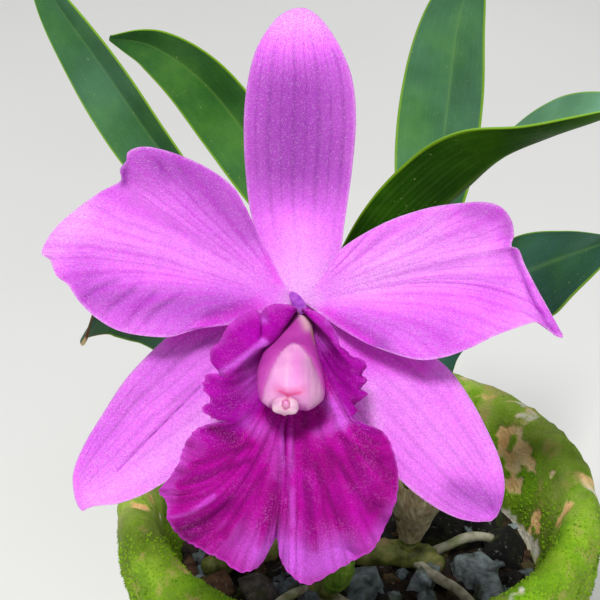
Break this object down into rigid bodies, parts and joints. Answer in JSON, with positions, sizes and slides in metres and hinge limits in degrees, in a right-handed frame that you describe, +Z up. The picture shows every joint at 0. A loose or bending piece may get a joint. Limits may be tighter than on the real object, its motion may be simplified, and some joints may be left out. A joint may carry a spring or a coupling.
{
  "type": "cattleya orchid",
  "caption": "Compact cattleya orchid in bloom, a wide lilac flower with a dark magenta lip, on its leafy plant in a mossy round clay pot.",
  "frame": {"origin": "centre of the pot's base, on the surface that the pot stands on", "axes": "+Z up; -Y is the side that the bloom leans out over; +X is to the right as the bloom is seen"},
  "size_m": [0.1403, 0.1874, 0.2477],
  "materials": {
    "clay": "old fired clay under a coat of moss and algae",
    "mix": "damp bark, charcoal and grey stones",
    "rhizome": "green creeping stem with grey-white roots",
    "shoot": "fresh green, satin",
    "sheath": "dry papery sheath",
    "stalk": "green, satin",
    "ovary": "green flushed with pink, satin",
    "sepal": "lilac, finely veined, satin with a crystalline sparkle",
    "petal": "lilac, finely veined, satin with a crystalline sparkle",
    "lip": "deep magenta with dark veins, velvety satin",
    "column": "pale pink, waxy",
    "cap": "pale pink-white, waxy",
    "pseudobulb": "ribbed green, satin, with dry sheath at the foot",
    "leaf": "dark leathery green, semi-gloss"
  },
  "bodies": {
    "root": {"anther_cap": "cap", "column": "column", "dorsal_sepal": "sepal", "lateral_sepal_left": "sepal", "lateral_sepal_right": "sepal", "leaf_1": "leaf", "leaf_2": "leaf", "leaf_3": "leaf", "leaf_4": "leaf", "leaf_5": "leaf", "leaf_6": "leaf", "lip": "lip", "ovary": "ovary", "peduncle": "stalk", "petal_left": "petal", "petal_right": "petal", "pot": "clay", "potting_mix": "mix", "pseudobulb_1": "pseudobulb", "pseudobulb_2": "pseudobulb", "pseudobulb_3": "pseudobulb", "pseudobulb_4": "pseudobulb", "pseudobulb_5": "pseudobulb", "pseudobulb_6": "pseudobulb", "rhizome_and_roots": "rhizome", "spathe": "sheath", "young_shoot": "shoot"}
  },
  "joints": []
}
